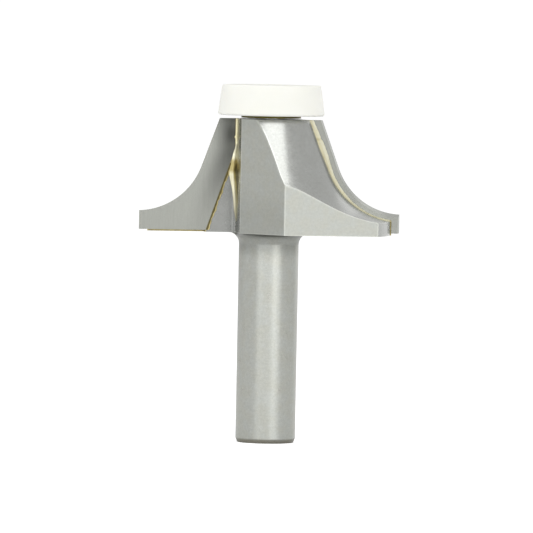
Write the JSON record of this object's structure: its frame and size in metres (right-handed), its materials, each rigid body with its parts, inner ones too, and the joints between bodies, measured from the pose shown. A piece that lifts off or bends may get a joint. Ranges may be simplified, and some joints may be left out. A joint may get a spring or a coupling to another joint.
{
  "type": "router bit",
  "caption": "Cove-profile router bit: straight shank, two-wing steel head with brazed carbide tips, and a tapered nylon guide ring that turns on a ball bearing on top.",
  "frame": {"origin": "centre of the flat end of the shank", "axes": "+Z along the axis from the shank's end to the guide ring, +X along wing 2, with the back flats of both wings parallel to X"},
  "size_m": [0.0552, 0.0286, 0.0759],
  "materials": {
    "ground_steel": "fine ground and bead-finished tool steel, satin",
    "carbide": "fine-ground grey cemented carbide with straight grinding lines",
    "silver_braze": "pale yellow silver braze, smooth and slightly uneven",
    "bearing_steel": "ground and polished bearing steel",
    "ball_steel": "mirror-polished bearing balls",
    "shield_steel": "stamped sheet steel",
    "cage_nylon": "natural nylon",
    "white_nylon": "white turned nylon, satin",
    "washer_steel": "plain zinc-plated washer",
    "black_steel": "black-oxide alloy steel"
  },
  "bodies": {
    "cutter": {"cutter_body": "ground_steel", "carbide_tip_1": "carbide", "carbide_tip_2": "carbide", "braze_seam_1": "silver_braze", "braze_seam_2": "silver_braze", "bearing_inner_race": "bearing_steel", "retaining_washer": "washer_steel", "retaining_screw": "black_steel"},
    "guide": {"guide_ring": "white_nylon", "bearing_outer_race": "bearing_steel", "bearing_shield_lower": "shield_steel", "bearing_shield_upper": "shield_steel"},
    "cage": {"ball_cage": "cage_nylon"},
    "ball_1": {"bearing_ball_1": "ball_steel"},
    "ball_2": {"bearing_ball_2": "ball_steel"},
    "ball_3": {"bearing_ball_3": "ball_steel"},
    "ball_4": {"bearing_ball_4": "ball_steel"},
    "ball_5": {"bearing_ball_5": "ball_steel"},
    "ball_6": {"bearing_ball_6": "ball_steel"},
    "ball_7": {"bearing_ball_7": "ball_steel"}
  },
  "joints": [
    {"name": "ring_spin", "type": "hinge", "parent": "cutter", "child": "guide", "pos_m": [0, 0, 0.07139], "axis": [0, 0, 1], "continuous": true},
    {"name": "cage_orbit", "type": "hinge", "parent": "cutter", "child": "cage", "pos_m": [0, 0, 0.07139], "axis": [0, 0, 1], "continuous": true},
    {"name": "ball_1_roll", "type": "hinge", "parent": "cage", "child": "ball_1", "pos_m": [0.00437, 0, 0.07139], "axis": [0, 0, 1], "continuous": true},
    {"name": "ball_2_roll", "type": "hinge", "parent": "cage", "child": "ball_2", "pos_m": [0.00272, 0.00341, 0.07139], "axis": [0, 0, 1], "continuous": true},
    {"name": "ball_3_roll", "type": "hinge", "parent": "cage", "child": "ball_3", "pos_m": [-0.00097, 0.00426, 0.07139], "axis": [0, 0, 1], "continuous": true},
    {"name": "ball_4_roll", "type": "hinge", "parent": "cage", "child": "ball_4", "pos_m": [-0.00393, 0.00189, 0.07139], "axis": [0, 0, 1], "continuous": true},
    {"name": "ball_5_roll", "type": "hinge", "parent": "cage", "child": "ball_5", "pos_m": [-0.00393, -0.00189, 0.07139], "axis": [0, 0, 1], "continuous": true},
    {"name": "ball_6_roll", "type": "hinge", "parent": "cage", "child": "ball_6", "pos_m": [-0.00097, -0.00426, 0.07139], "axis": [0, 0, 1], "continuous": true},
    {"name": "ball_7_roll", "type": "hinge", "parent": "cage", "child": "ball_7", "pos_m": [0.00272, -0.00341, 0.07139], "axis": [0, 0, 1], "continuous": true}
  ],
  "couplings": [
    {"joint": "cage_orbit", "follows": "ring_spin", "ratio": 0.63636},
    {"joint": "ball_1_roll", "follows": "ring_spin", "ratio": 1.697},
    {"joint": "ball_2_roll", "follows": "ring_spin", "ratio": 1.697},
    {"joint": "ball_3_roll", "follows": "ring_spin", "ratio": 1.697},
    {"joint": "ball_4_roll", "follows": "ring_spin", "ratio": 1.697},
    {"joint": "ball_5_roll", "follows": "ring_spin", "ratio": 1.697},
    {"joint": "ball_6_roll", "follows": "ring_spin", "ratio": 1.697},
    {"joint": "ball_7_roll", "follows": "ring_spin", "ratio": 1.697}
  ]
}
